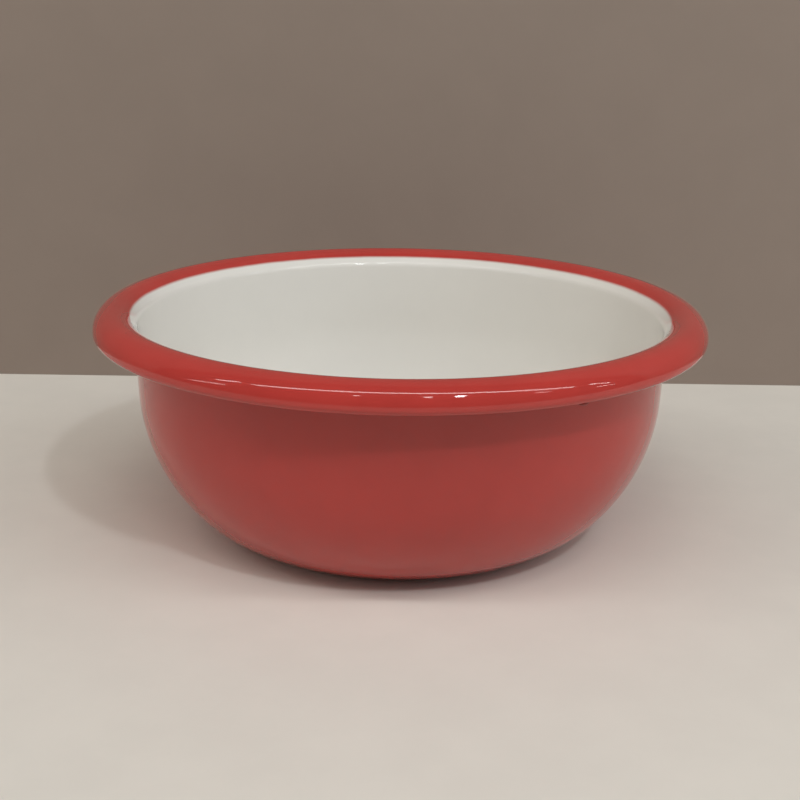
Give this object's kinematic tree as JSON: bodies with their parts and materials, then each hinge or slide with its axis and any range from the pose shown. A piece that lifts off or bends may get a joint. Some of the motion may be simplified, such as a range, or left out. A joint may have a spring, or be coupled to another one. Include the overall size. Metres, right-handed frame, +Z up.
{
  "type": "enamel bowl",
  "caption": "Round enamelled steel bowl, white inside and red outside, with a broad rolled red rim and a flat base to stand on.",
  "frame": {"origin": "centre of the flat base, on the surface that the bowl stands on", "axes": "+Z up along the axis of the bowl, towards its mouth; the bowl is round, so X and Y are equal"},
  "size_m": [0.2, 0.2, 0.076],
  "materials": {
    "sheet_steel": "pickled low-carbon sheet, sealed under the coats",
    "ground_enamel": "dark bonding glass, hidden under the cover coats",
    "white_enamel": "glossy fired white",
    "red_enamel": "glossy fired red"
  },
  "bodies": {
    "root": {"steel_shell": "sheet_steel", "ground_coat_inside": "ground_enamel", "ground_coat_outside": "ground_enamel", "white_lining": "white_enamel", "red_base_coat": "red_enamel", "red_outer_coat": "red_enamel", "red_rim_coat": "red_enamel"}
  },
  "joints": []
}
